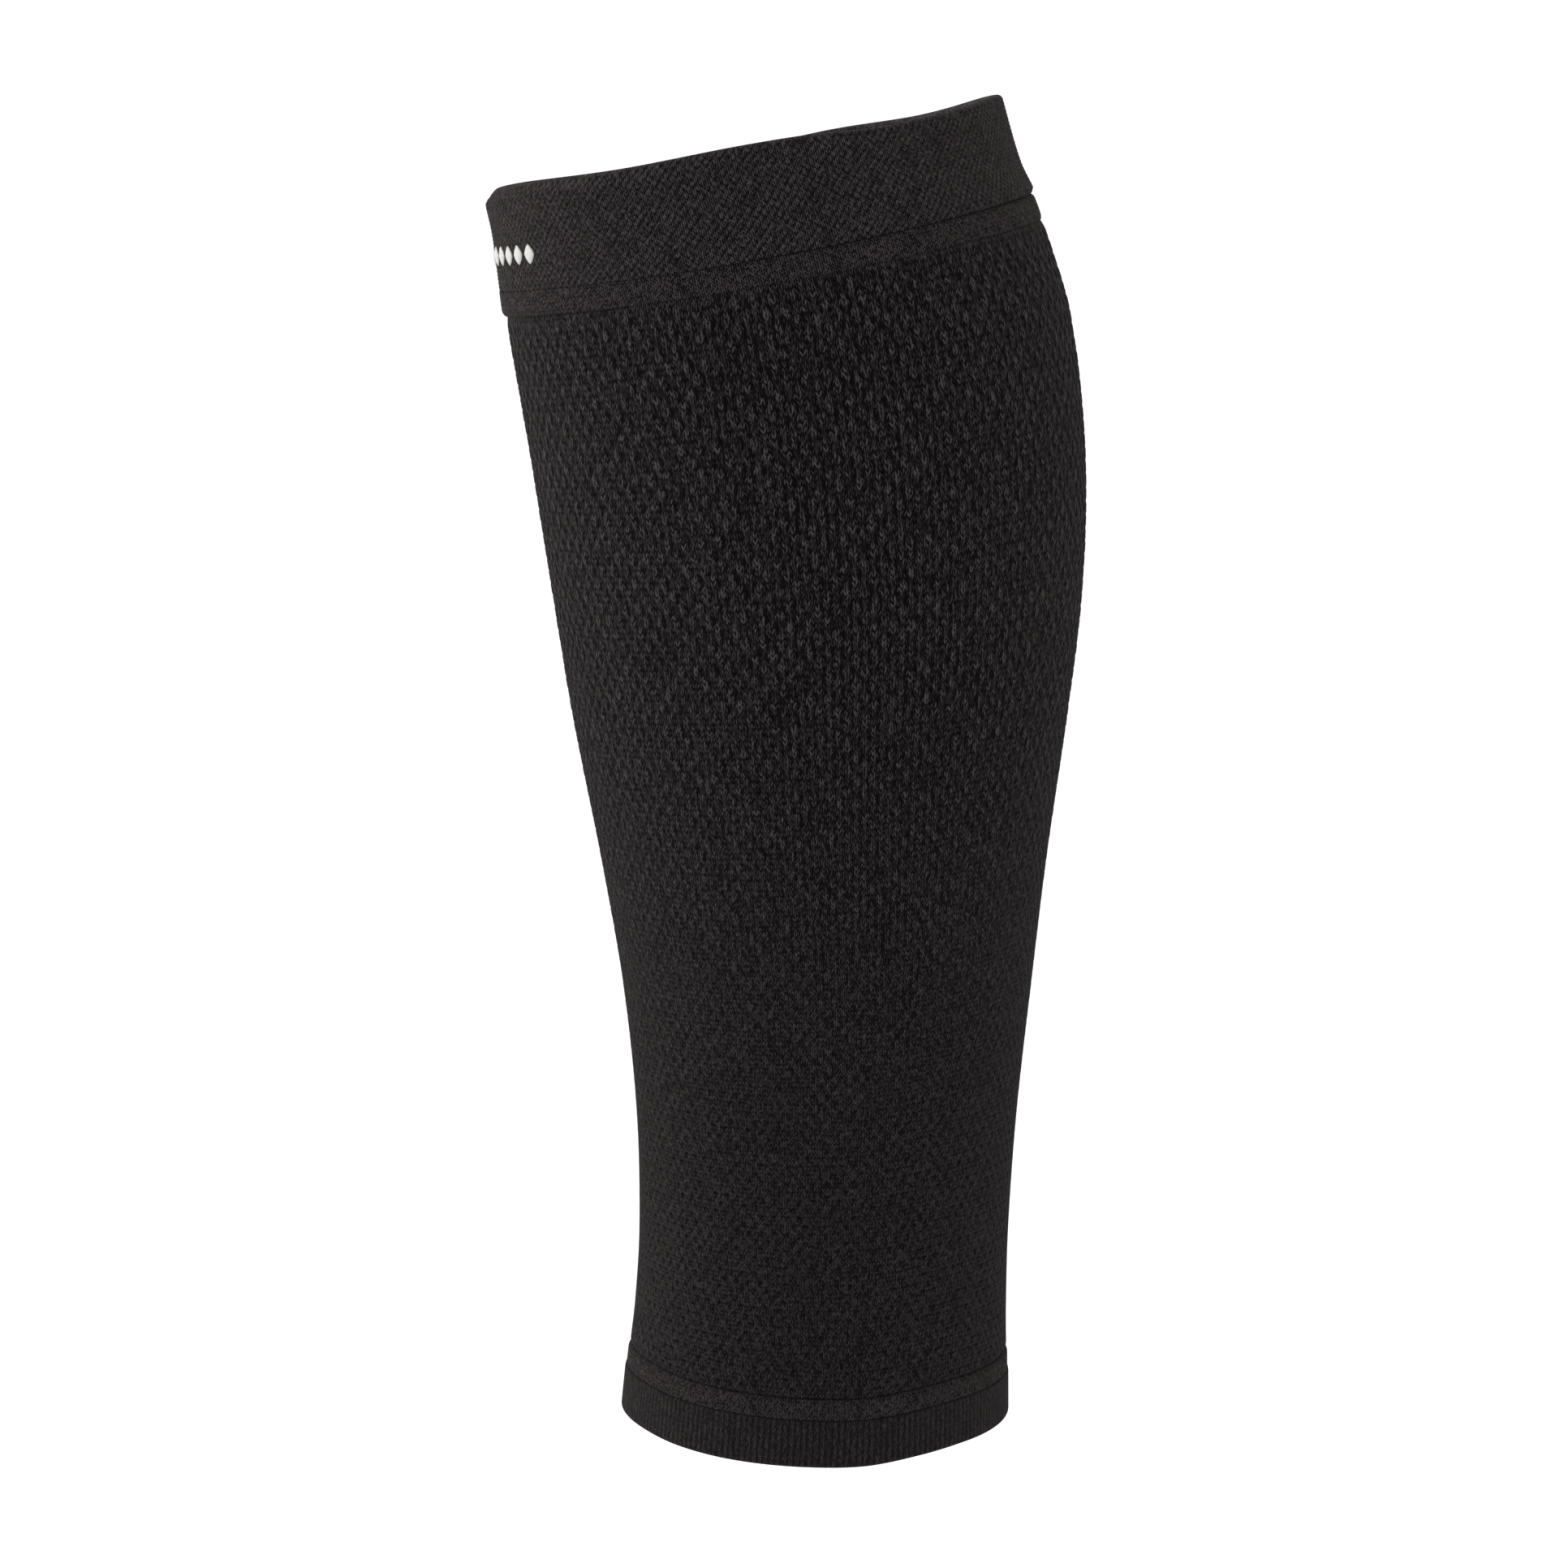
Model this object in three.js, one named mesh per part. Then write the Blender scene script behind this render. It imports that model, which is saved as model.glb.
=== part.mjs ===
// A knitted calf compression sleeve, in the form that it takes on the leg.
//
// Millimetres, +Z up. The shin faces -Y and the calf muscle faces +Y. The origin lies in the
// hollow, at the middle of the fullest girth. The sleeve is one knitted tube in five zones, and
// each zone is a solid of its own: the upper cuff, a narrow join band, the blister-knit body, a
// second join band and the ribbed ankle cuff. Heights are measured from the origin, and a turn
// is the angle round the leg, from 0 at the shin to PI at the back of the calf.

import * as THREE from 'three';

// The leg that the sleeve is stretched over
const CALF_DEPTH = 119.4; // inside, front to back, at the fullest girth
const CALF_WIDTH = 110; // inside, side to side, at the fullest girth
const SLEEVE_LENGTH = 295; // from the ankle edge to the highest point of the top edge
const GIRTH_HEIGHT = 231.5; // the fullest girth above the ankle edge

// The heights of the knitted zones
const UPPER_CUFF_HEIGHT = 21.4; // at the shin and at the back
const UPPER_JOIN_HEIGHT = 5.4;
const LOWER_JOIN_HEIGHT = 4.6;
const ANKLE_CUFF_HEIGHT = 10.2;

// The edges
const TOP_EDGE_RISE = 20.3; // the back of the top edge above its front
const TOP_EDGE_SIDE_DROP = 0.3; // the sides of the top edge below a flat slant
const CUFF_LINE_SIDE_DROP = 1.6; // the sides of the cuff's lower line below a flat slant
const TOP_EDGE_LEAN = 1.3; // how far the top edge leans in over the shin
const TOP_EDGE_LEAN_REACH = 2.8; // how far below the top edge that lean begins
const TOP_EDGE_WAVE = 1.4; // the deepest wave of the top edge
const ANKLE_WAVE = 2.2; // the highest wave of the ankle edge

// The thickness of each knit
const UPPER_CUFF_WALL = 2.6; // a turned welt of two layers
const JOIN_WALL = 1.9;
const BODY_WALL = 1.7;
const ANKLE_CUFF_WALL = 2.2;
const CREASE_RADIUS = 0.7; // how the outside rounds in to a crease between two zones
const CREASE_GAP = 0.3; // left between the zones, in the crease
const EDGE_ROUNDNESS = 0.45; // the radius of a rounded free edge, as a share of its wall

// How finely the solids are faceted
const TURN_STEPS = 64;
const ROUNDING_STEPS = 3;
const BODY_ROWS = 14;
const UPPER_CUFF_ROWS = 3;
const ANKLE_CUFF_ROWS = 1;
const JOIN_ROWS = 0;

// Sections of the leg. "up" is a share of the sleeve's length above the ankle edge. "front" and
// "back" are how far the shin and the calf lie from the origin's upright line, as shares of the
// calf's depth, and "side" is half the width, as a share of the calf's width. "egg" narrows the
// shin half of the section and widens the calf half.
const LEG_SECTIONS = [
  { up: 0.0, front: 0.322, back: 0.377, side: 0.35, egg: 0.02 },
  { up: 0.05, front: 0.309, back: 0.376, side: 0.337, egg: 0.03 },
  { up: 0.09, front: 0.297, back: 0.375, side: 0.327, egg: 0.04 },
  { up: 0.15, front: 0.288, back: 0.378, side: 0.322, egg: 0.05 },
  { up: 0.24, front: 0.292, back: 0.392, side: 0.335, egg: 0.07 },
  { up: 0.34, front: 0.316, back: 0.417, side: 0.365, egg: 0.09 },
  { up: 0.44, front: 0.357, back: 0.444, side: 0.408, egg: 0.11 },
  { up: 0.54, front: 0.404, back: 0.477, side: 0.452, egg: 0.12 },
  { up: 0.64, front: 0.443, back: 0.504, side: 0.486, egg: 0.12 },
  { up: 0.74, front: 0.481, back: 0.507, side: 0.5, egg: 0.1 },
  { up: 0.84, front: 0.522, back: 0.478, side: 0.494, egg: 0.07 },
  { up: 0.9, front: 0.541, back: 0.433, side: 0.486, egg: 0.05 },
  { up: 0.925, front: 0.554, back: 0.411, side: 0.482, egg: 0.05 },
  { up: 0.95, front: 0.565, back: 0.381, side: 0.478, egg: 0.04 },
  { up: 1.0, front: 0.574, back: 0.344, side: 0.47, egg: 0.03 },
];

// The waves of the top edge: how far it rises above its even line at some turns, in degrees, as
// a share of its deepest wave
const TOP_EDGE_WAVES = [
  { turn: 0, rise: 0.3 },
  { turn: 30, rise: 0.55 },
  { turn: 62, rise: 0.0 },
  { turn: 88, rise: 0.15 },
  { turn: 104, rise: -0.15 },
  { turn: 120, rise: -1.0 },
  { turn: 142, rise: -0.85 },
  { turn: 165, rise: -0.2 },
  { turn: 195, rise: 0.0 },
  { turn: 225, rise: -0.7 },
  { turn: 250, rise: -0.2 },
  { turn: 275, rise: -0.65 },
  { turn: 305, rise: -0.35 },
  { turn: 335, rise: 0.05 },
];

// The waves of the ankle edge and of the two lines above it, as shares of the highest wave
const ANKLE_WAVES = [
  { turn: 0, rise: 1.0 },
  { turn: 25, rise: 0.9 },
  { turn: 45, rise: 0.4 },
  { turn: 65, rise: 0.0 },
  { turn: 90, rise: -0.25 },
  { turn: 105, rise: -0.25 },
  { turn: 122, rise: 0.25 },
  { turn: 140, rise: 0.6 },
  { turn: 180, rise: 0.65 },
  { turn: 215, rise: 0.4 },
  { turn: 240, rise: 0.05 },
  { turn: 270, rise: -0.2 },
  { turn: 300, rise: 0.1 },
  { turn: 330, rise: 0.7 },
];

// The value of one column of a table at a place along another, on a smooth curve
function tableValue(rows, along, column, place) {
  const last = rows.length - 1;
  const slope = (i) => {
    const a = rows[Math.max(i - 1, 0)];
    const b = rows[Math.min(i + 1, last)];
    return (b[column] - a[column]) / (b[along] - a[along]);
  };
  let i = 0;
  while (i < last - 1 && place > rows[i + 1][along]) i += 1;
  const span = rows[i + 1][along] - rows[i][along];
  const t = (place - rows[i][along]) / span;
  const rise = t * t * (3 - 2 * t);
  return (
    rows[i][column] * (1 - rise) +
    rows[i + 1][column] * rise +
    slope(i) * span * t * (1 - t) * (1 - t) -
    slope(i + 1) * span * t * t * (1 - t)
  );
}

// A point on the skin of the leg
function skinPoint(turn, height) {
  const section = (column) => {
    return tableValue(LEG_SECTIONS, 'up', column, (height + GIRTH_HEIGHT) / SLEEVE_LENGTH);
  };
  const front = section('front') * CALF_DEPTH;
  const back = section('back') * CALF_DEPTH;
  const side = section('side') * CALF_WIDTH;
  const egg = section('egg');
  const x = side * Math.sin(turn) * (1 - egg * Math.cos(turn));
  const y = (back - front) / 2 - ((back + front) / 2) * Math.cos(turn);
  return new THREE.Vector3(x, y, height);
}

// The direction straight out of the leg at that point
function skinNormal(turn, height) {
  const turnStep = 0.001;
  const heightStep = 0.05;
  const around = skinPoint(turn + turnStep, height).sub(skinPoint(turn - turnStep, height));
  const upward = skinPoint(turn, height + heightStep).sub(skinPoint(turn, height - heightStep));
  return around.cross(upward).normalize();
}

// The height of a line round the leg that is given at the shin, the sides and the back
function lineHeight(turn, front, side, back) {
  const slant = (front - back) / 2;
  const middle = (front + back) / 2;
  return middle + slant * Math.cos(turn) + (side - middle) * Math.sin(turn) ** 2;
}

// How far the waves of a line raise it at a turn, as a share
function waveRise(waves, turn) {
  const final = waves[waves.length - 1];
  const round = [
    { turn: final.turn - 360, rise: final.rise },
    ...waves,
    { turn: 360, rise: waves[0].rise },
    { turn: 360 + waves[1].turn, rise: waves[1].rise },
  ];
  return tableValue(round, 'turn', 'rise', THREE.MathUtils.radToDeg(turn));
}

// A line round the leg that slants up to the back as the top edge does
function slantedLine(turn, backHeight, sideDrop) {
  const frontHeight = backHeight - TOP_EDGE_RISE;
  return lineHeight(turn, frontHeight, (frontHeight + backHeight) / 2 - sideDrop, backHeight);
}

// The edges and the lines between the zones
function topEdge(turn) {
  const even = slantedLine(turn, SLEEVE_LENGTH - GIRTH_HEIGHT, TOP_EDGE_SIDE_DROP);
  return even + TOP_EDGE_WAVE * waveRise(TOP_EDGE_WAVES, turn);
}

function cuffLine(turn) {
  const backHeight = SLEEVE_LENGTH - GIRTH_HEIGHT - UPPER_CUFF_HEIGHT;
  return slantedLine(turn, backHeight, CUFF_LINE_SIDE_DROP);
}

function upperJoinLine(turn) {
  return cuffLine(turn) - UPPER_JOIN_HEIGHT;
}

function ankleEdge(turn) {
  return ANKLE_WAVE * waveRise(ANKLE_WAVES, turn) - GIRTH_HEIGHT;
}

function ribLine(turn) {
  return ankleEdge(turn) + ANKLE_CUFF_HEIGHT;
}

function lowerJoinLine(turn) {
  return ribLine(turn) + LOWER_JOIN_HEIGHT;
}

// How far the wall leans in over the shin, at a distance below the top edge
function topEdgeLean(turn, below) {
  const near = THREE.MathUtils.smoothstep(TOP_EDGE_LEAN_REACH - below, 0, TOP_EDGE_LEAN_REACH);
  return (TOP_EDGE_LEAN * near * (1 + Math.cos(turn))) / 2;
}

// The cut through a wall: a bar from 0 to length and from 0 to wall, with rounded corners.
// It runs up the outside and down the inside. Each corner is [outer radius, inner radius].
function wallProfile(length, wall, lowerCorner, upperCorner, rows) {
  const points = [];
  const corner = (along, out, radius, from) => {
    const steps = radius > 0 ? ROUNDING_STEPS : 0;
    for (let i = 0; i <= steps; i += 1) {
      const angle = from + ((Math.PI / 2) * i) / ROUNDING_STEPS;
      points.push([along - radius * Math.cos(angle), out + radius * Math.sin(angle)]);
    }
  };
  const straight = (out, from, to) => {
    for (let i = 1; i <= rows; i += 1) {
      points.push([from + ((to - from) * i) / (rows + 1), out]);
    }
  };
  const [lowerOuter, lowerInner] = lowerCorner;
  const [upperOuter, upperInner] = upperCorner;
  corner(lowerOuter, wall - lowerOuter, lowerOuter, 0);
  straight(wall, lowerOuter, length - upperOuter);
  corner(length - upperOuter, wall - upperOuter, upperOuter, Math.PI / 2);
  corner(length - upperInner, upperInner, upperInner, Math.PI);
  straight(0, length - upperInner, lowerInner);
  corner(lowerInner, lowerInner, lowerInner, (3 * Math.PI) / 2);
  return points;
}

// One knitted zone: the wall profile carried round the leg between two lines
function knitZone(name, { lower, upper, wall, lowerCorner, upperCorner, rows, colour }) {
  const positions = [];
  let loop = 0;
  for (let i = 0; i < TURN_STEPS; i += 1) {
    const turn = (2 * Math.PI * i) / TURN_STEPS;
    const start = lower(turn);
    const profile = wallProfile(upper(turn) - start, wall, lowerCorner, upperCorner, rows);
    loop = profile.length;
    for (const [along, depth] of profile) {
      const height = start + along;
      const out = depth - topEdgeLean(turn, topEdge(turn) - height);
      const point = skinPoint(turn, height).addScaledVector(skinNormal(turn, height), out);
      positions.push(point.x, point.y, point.z);
    }
  }
  const index = [];
  for (let i = 0; i < TURN_STEPS; i += 1) {
    const here = i * loop;
    const next = ((i + 1) % TURN_STEPS) * loop;
    for (let j = 0; j < loop; j += 1) {
      const k = (j + 1) % loop;
      index.push(here + j, next + j, next + k, here + j, next + k, here + k);
    }
  }
  const geometry = new THREE.BufferGeometry();
  geometry.setAttribute('position', new THREE.Float32BufferAttribute(positions, 3));
  geometry.setIndex(index);
  geometry.computeVertexNormals();
  const material = new THREE.MeshStandardMaterial({ color: colour, roughness: 0.95, metalness: 0 });
  const mesh = new THREE.Mesh(geometry, material);
  mesh.name = name;
  return mesh;
}

// A line moved up or down by half of the gap in a crease
function beside(line, direction) {
  return (turn) => line(turn) + (direction * CREASE_GAP) / 2;
}

const creased = [CREASE_RADIUS, 0];
const turnedWelt = [EDGE_ROUNDNESS * UPPER_CUFF_WALL, EDGE_ROUNDNESS * UPPER_CUFF_WALL];
const boundEdge = [EDGE_ROUNDNESS * ANKLE_CUFF_WALL, EDGE_ROUNDNESS * ANKLE_CUFF_WALL];

const upperCuff = knitZone('upper_cuff', {
  lower: beside(cuffLine, 1),
  upper: topEdge,
  wall: UPPER_CUFF_WALL,
  lowerCorner: creased,
  upperCorner: turnedWelt,
  rows: UPPER_CUFF_ROWS,
  colour: 0x2b292a,
});

const upperJoinBand = knitZone('upper_join_band', {
  lower: beside(upperJoinLine, 1),
  upper: beside(cuffLine, -1),
  wall: JOIN_WALL,
  lowerCorner: creased,
  upperCorner: creased,
  rows: JOIN_ROWS,
  colour: 0x2a2829,
});

const calfBody = knitZone('calf_body', {
  lower: beside(lowerJoinLine, 1),
  upper: beside(upperJoinLine, -1),
  wall: BODY_WALL,
  lowerCorner: creased,
  upperCorner: creased,
  rows: BODY_ROWS,
  colour: 0x262425,
});

const lowerJoinBand = knitZone('lower_join_band', {
  lower: beside(ribLine, 1),
  upper: beside(lowerJoinLine, -1),
  wall: JOIN_WALL,
  lowerCorner: creased,
  upperCorner: creased,
  rows: JOIN_ROWS,
  colour: 0x2a2829,
});

const ankleCuff = knitZone('ankle_cuff', {
  lower: ankleEdge,
  upper: beside(ribLine, -1),
  wall: ANKLE_CUFF_WALL,
  lowerCorner: boundEdge,
  upperCorner: creased,
  rows: ANKLE_CUFF_ROWS,
  colour: 0x272425,
});

const sleeve = new THREE.Group();
sleeve.add(upperCuff, upperJoinBand, calfBody, lowerJoinBand, ankleCuff);

export default sleeve;
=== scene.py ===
"""Builds a knitted calf compression sleeve, in the form it takes on the leg.

The knit is made from counts of blisters, tucks, ribs and wales round the leg: each zone is a
closed wall of cloth with its relief in the mesh, and the stitches are drawn by the materials.
Lengths of the form are in millimetres here, as in the CAD source, and the meshes in metres.
"""

import math

import bpy
import numpy as np
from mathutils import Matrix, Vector


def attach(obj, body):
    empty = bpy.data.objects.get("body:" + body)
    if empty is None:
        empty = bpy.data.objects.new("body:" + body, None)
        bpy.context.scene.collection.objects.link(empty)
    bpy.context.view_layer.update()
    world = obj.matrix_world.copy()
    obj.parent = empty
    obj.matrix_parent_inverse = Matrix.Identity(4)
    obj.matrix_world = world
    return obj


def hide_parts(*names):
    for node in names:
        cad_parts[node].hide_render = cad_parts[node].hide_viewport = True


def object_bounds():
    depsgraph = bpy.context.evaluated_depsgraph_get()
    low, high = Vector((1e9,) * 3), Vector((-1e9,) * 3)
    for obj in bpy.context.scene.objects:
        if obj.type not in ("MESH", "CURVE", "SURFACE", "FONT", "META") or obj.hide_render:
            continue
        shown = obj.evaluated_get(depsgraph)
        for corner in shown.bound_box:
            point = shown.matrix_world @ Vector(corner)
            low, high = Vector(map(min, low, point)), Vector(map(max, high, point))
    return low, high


bl_info = {
    "name": "Calf Compression Sleeve",
    "version": (1, 0, 0),
    "blender": (4, 5, 0),
    "location": "View3D > Sidebar > Sleeve",
    "description": "Builds a knitted calf compression sleeve and a plain studio around it",
    "category": "Add Mesh",
}

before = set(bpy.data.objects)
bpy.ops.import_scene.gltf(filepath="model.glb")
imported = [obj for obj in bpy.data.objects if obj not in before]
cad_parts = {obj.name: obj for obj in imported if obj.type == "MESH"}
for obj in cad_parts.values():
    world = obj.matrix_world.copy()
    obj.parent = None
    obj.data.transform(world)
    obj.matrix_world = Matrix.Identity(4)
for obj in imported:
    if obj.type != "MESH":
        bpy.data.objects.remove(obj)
cad_low, cad_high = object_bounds()

MM = 0.001

# The leg and the knitted zones, as in the CAD source
CALF_DEPTH = 119.4
CALF_WIDTH = 110.0
SLEEVE_LENGTH = 295.0
GIRTH_HEIGHT = 231.5
UPPER_CUFF_HEIGHT = 21.4
UPPER_JOIN_HEIGHT = 5.4
LOWER_JOIN_HEIGHT = 4.6
ANKLE_CUFF_HEIGHT = 10.2
TOP_EDGE_RISE = 20.3
TOP_EDGE_SIDE_DROP = 0.3
CUFF_LINE_SIDE_DROP = 1.6
TOP_EDGE_WAVE = 1.4
ANKLE_WAVE = 2.2
UPPER_CUFF_WALL = 2.6
JOIN_WALL = 1.9
BODY_WALL = 1.7
ANKLE_CUFF_WALL = 2.2
EDGE_ROUNDNESS = 0.45

# Sections of the leg: share of the length above the ankle edge, front, back, side and egg
LEG_SECTIONS = np.array([
    (0.0, 0.322, 0.377, 0.35, 0.02),
    (0.05, 0.309, 0.376, 0.337, 0.03),
    (0.09, 0.297, 0.375, 0.327, 0.04),
    (0.15, 0.288, 0.378, 0.322, 0.05),
    (0.24, 0.292, 0.392, 0.335, 0.07),
    (0.34, 0.316, 0.417, 0.365, 0.09),
    (0.44, 0.357, 0.444, 0.408, 0.11),
    (0.54, 0.404, 0.477, 0.452, 0.12),
    (0.64, 0.443, 0.504, 0.486, 0.12),
    (0.74, 0.481, 0.507, 0.5, 0.1),
    (0.84, 0.522, 0.478, 0.494, 0.07),
    (0.9, 0.541, 0.433, 0.486, 0.05),
    (0.925, 0.554, 0.411, 0.482, 0.05),
    (0.95, 0.565, 0.381, 0.478, 0.04),
    (1.0, 0.574, 0.344, 0.47, 0.03),
])

# The waves of the two edges: turn in degrees, and the rise as a share of the largest wave
TOP_EDGE_WAVES = np.array([
    (0, 0.3), (30, 0.55), (62, 0.0), (88, 0.15), (104, -0.15), (120, -1.0), (142, -0.85),
    (165, -0.2), (195, 0.0), (225, -0.7), (250, -0.2), (275, -0.65), (305, -0.35), (335, 0.05),
])
ANKLE_WAVES = np.array([
    (0, 1.0), (25, 0.9), (45, 0.4), (65, 0.0), (90, -0.25), (105, -0.25), (122, 0.25),
    (140, 0.6), (180, 0.65), (215, 0.4), (240, 0.05), (270, -0.2), (300, 0.1), (330, 0.7),
])

# Over the shin the top edge rolls in further here than in the plain solid
TOP_EDGE_LEAN = 2.4
TOP_EDGE_LEAN_REACH = 3.2

# The pieces of the body, from the ankle up
BODY_PIECES = ("calf_knit_ankle", "calf_knit_shank", "calf_knit_calf", "calf_knit_knee")

# How finely the knit is meshed
COLUMNS_PER_BLISTER = 8
ROWS_PER_BLISTER = 8
GIRTH_SAMPLES, GIRTH_TURNS = 400, 180
COLUMNS_PER_TUCK = 4
ROWS_PER_TUCK = 4
COLUMNS_PER_RIB = 6
COLUMNS_PER_WALE = 2
BAND_ROWS = 19
BAND_LINING_STEP = 6  # the lining of a band has every sixth row of its outside
RIB_ROWS = 22
TOP_ROLL_ROWS = 9
ANKLE_ROLL_ROWS = 11
LINING_ROWS = 6
HAIR_GAP = 0.02  # between two zones in their crease

# The blister knit: its blisters grow from one height up, and its pits fade out from another
WALES_PER_BLISTER = 4
COURSES_PER_BLISTER = 4
BLISTERS_FROM, BLISTERS_REACH = -190, 140
PITS_UNTIL, PITS_REACH = -175, 75
GROUND_RELIEF = 0.45  # the ground between blisters, as a share of a blister's top, in the painted light and shade
LINING_FURROW = 0.3  # how far the furrows between wales show on the inside, as painted shade and bump
WALE_SWAY = 0.28  # how far the wales bend round a blister, in wales
GAIN_SEED, GAIN_SHAPE = 11, (2, 64, 128)  # blisters vary in height: the draw, and its table
GAIN_LOW, GAIN_HIGH = 0.82, 1.08
GAIN_ROUND = 92  # the table comes round again after this many blisters

# The other knits
TUCK_PITCH = 1.75
WALES_PER_TUCK = 2
COURSES_PER_TUCK = 2
WALE_HEIGHT = 0.04
UPPER_JOIN_COURSES = 7
LOWER_JOIN_COURSES = 6
WALES_PER_RIB = 2
RIB_COURSES = 8
RIB_CURVE = 0.8  # under 1, so the ribs are broad and the furrows between them narrow

# The knit over a rolled edge, as a share of the height of its cuff
TOP_ROLLED_SHARE = 0.12
ANKLE_ROLLED_SHARE = 0.2

# The stitches that the materials draw
STITCH_SLANT = 1.7  # slope of a leg of yarn, in courses for each wale across
COURSE_WEIGHT = 0.4  # how much the courses show beside the legs
STITCH_DEPTH = 0.12
FILAMENT_SIZE = 0.3  # real ones are 0.05 mm thick: these are drawn coarser so that they show
THREAD_DEPTH = 0.08
THREAD_SPACING = 0.4  # the wave texture draws about three strands to each thread

# The row of lozenges: its length, and its height above the lower line of the cuff
LOZENGE_SPAN = 62.0
LOZENGE_LIFT = 7.7
LOZENGE_HALF_SHARE = 0.38  # half the width of a lozenge, as a share of its room in the row
LOZENGE_POINTS = 24
LOZENGE_CURVE = 1.3  # 1 gives straight sides, 2 an ellipse

# The studio, in metres; each lamp has its place and its share of the key light's power
FLOOR_HALF = 6.0
LAMPS = (("shin_lamp", (-0.55, -1.25, 0.3), 1.0), ("front_lamp", (1.1, -0.6, 0.9), 0.25))
LAMP_SIZE = 0.9
LAMP_AIM = (0, 0, -0.08)
CAMERA_PLACE = (0.9997, -0.00356, 0.0568)
CAMERA_AIM = (0, -0.00356, -0.08729)
CAMERA_SENSOR, CAMERA_LENS = 36, 104.56  # both in millimetres


# The form of the leg and the lines on it


def curve_through(xs, ys, x):
    """A smooth curve through the points of a table, as the CAD source draws it."""
    last = len(xs) - 1
    slopes = np.array([
        (ys[min(i + 1, last)] - ys[max(i - 1, 0)]) / (xs[min(i + 1, last)] - xs[max(i - 1, 0)])
        for i in range(last + 1)
    ])
    i = np.clip(np.searchsorted(xs, x) - 1, 0, last - 1)
    span = xs[i + 1] - xs[i]
    t = (x - xs[i]) / span
    rise = t * t * (3 - 2 * t)
    bend = slopes[i] * span * t * (1 - t) ** 2 - slopes[i + 1] * span * t * t * (1 - t)
    return ys[i] * (1 - rise) + ys[i + 1] * rise + bend


def skin_point(turn, height):
    """Points on the skin of the leg, with the shin at turn 0 and the calf at turn pi."""
    turn, height = np.broadcast_arrays(turn, height)
    up = (height + GIRTH_HEIGHT) / SLEEVE_LENGTH
    shares = LEG_SECTIONS[:, 0]
    front, back, side, egg = (curve_through(shares, LEG_SECTIONS[:, k], up) for k in (1, 2, 3, 4))
    x = side * CALF_WIDTH * np.sin(turn) * (1 - egg * np.cos(turn))
    y = CALF_DEPTH * ((back - front) / 2 - (back + front) / 2 * np.cos(turn))
    return np.stack([x, y, height], axis=-1)


def skin_normal(turn, height):
    """The direction straight out of the leg."""
    around = skin_point(turn + 0.001, height) - skin_point(turn - 0.001, height)
    upward = skin_point(turn, height + 0.05) - skin_point(turn, height - 0.05)
    out = np.cross(around, upward)
    return out / np.linalg.norm(out, axis=-1, keepdims=True)


def wave_rise(waves, turn):
    """How far the waves of a line raise it, as a share of the largest one."""
    before, after = waves[-1:] - (360, 0), waves[:2] + (360, 0)
    table = np.concatenate([before, waves, after])
    return curve_through(table[:, 0], table[:, 1], np.degrees(turn) % 360)


def slanted_line(turn, back_height, side_drop):
    """A line round the leg that slants up to the back as the top edge does."""
    middle = back_height - TOP_EDGE_RISE / 2
    return middle - TOP_EDGE_RISE / 2 * np.cos(turn) - side_drop * np.sin(turn) ** 2


def top_edge(turn):
    even = slanted_line(turn, SLEEVE_LENGTH - GIRTH_HEIGHT, TOP_EDGE_SIDE_DROP)
    return even + TOP_EDGE_WAVE * wave_rise(TOP_EDGE_WAVES, turn)


def cuff_line(turn):
    return slanted_line(turn, SLEEVE_LENGTH - GIRTH_HEIGHT - UPPER_CUFF_HEIGHT, CUFF_LINE_SIDE_DROP)


def upper_join_line(turn):
    return cuff_line(turn) - UPPER_JOIN_HEIGHT


def ankle_edge(turn):
    return ANKLE_WAVE * wave_rise(ANKLE_WAVES, turn) - GIRTH_HEIGHT


def rib_line(turn):
    return ankle_edge(turn) + ANKLE_CUFF_HEIGHT


def lower_join_line(turn):
    return rib_line(turn) + LOWER_JOIN_HEIGHT


def smooth_step(x):
    x = np.clip(x, 0, 1)
    return x * x * (3 - 2 * x)


def top_edge_lean(turn, height):
    """How far the wall leans in over the shin near the top edge."""
    near = smooth_step((TOP_EDGE_LEAN_REACH - (top_edge(turn) - height)) / TOP_EDGE_LEAN_REACH)
    return TOP_EDGE_LEAN * near * (1 + np.cos(turn)) / 2


def wall_point(turn, height, out):
    """Points that stand a distance out from the skin."""
    turn, height = np.broadcast_arrays(turn, height)
    out = out - top_edge_lean(turn, height)
    return skin_point(turn, height) + skin_normal(turn, height) * out[..., None]


def turns_of(count):
    return np.arange(count) * 2 * math.pi / count


def arc_turn(arc, height):
    """The turn that lies a length of arc from the shin, on the skin at a height."""
    turn = np.linspace(-1.5, 1.5, 601)
    step = np.linalg.norm(np.diff(skin_point(turn, height), axis=0), axis=1)
    length = np.concatenate([[0], np.cumsum(step)])
    return np.interp(arc, length - length[len(turn) // 2], turn)


def crease(distance, painted_relief, reach):
    """How deep the cloth sinks towards a crease at a distance from it."""
    return painted_relief * np.clip(1 - distance / reach, 0, 1) ** 2


# The relief of each knit, as a share of its height


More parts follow.
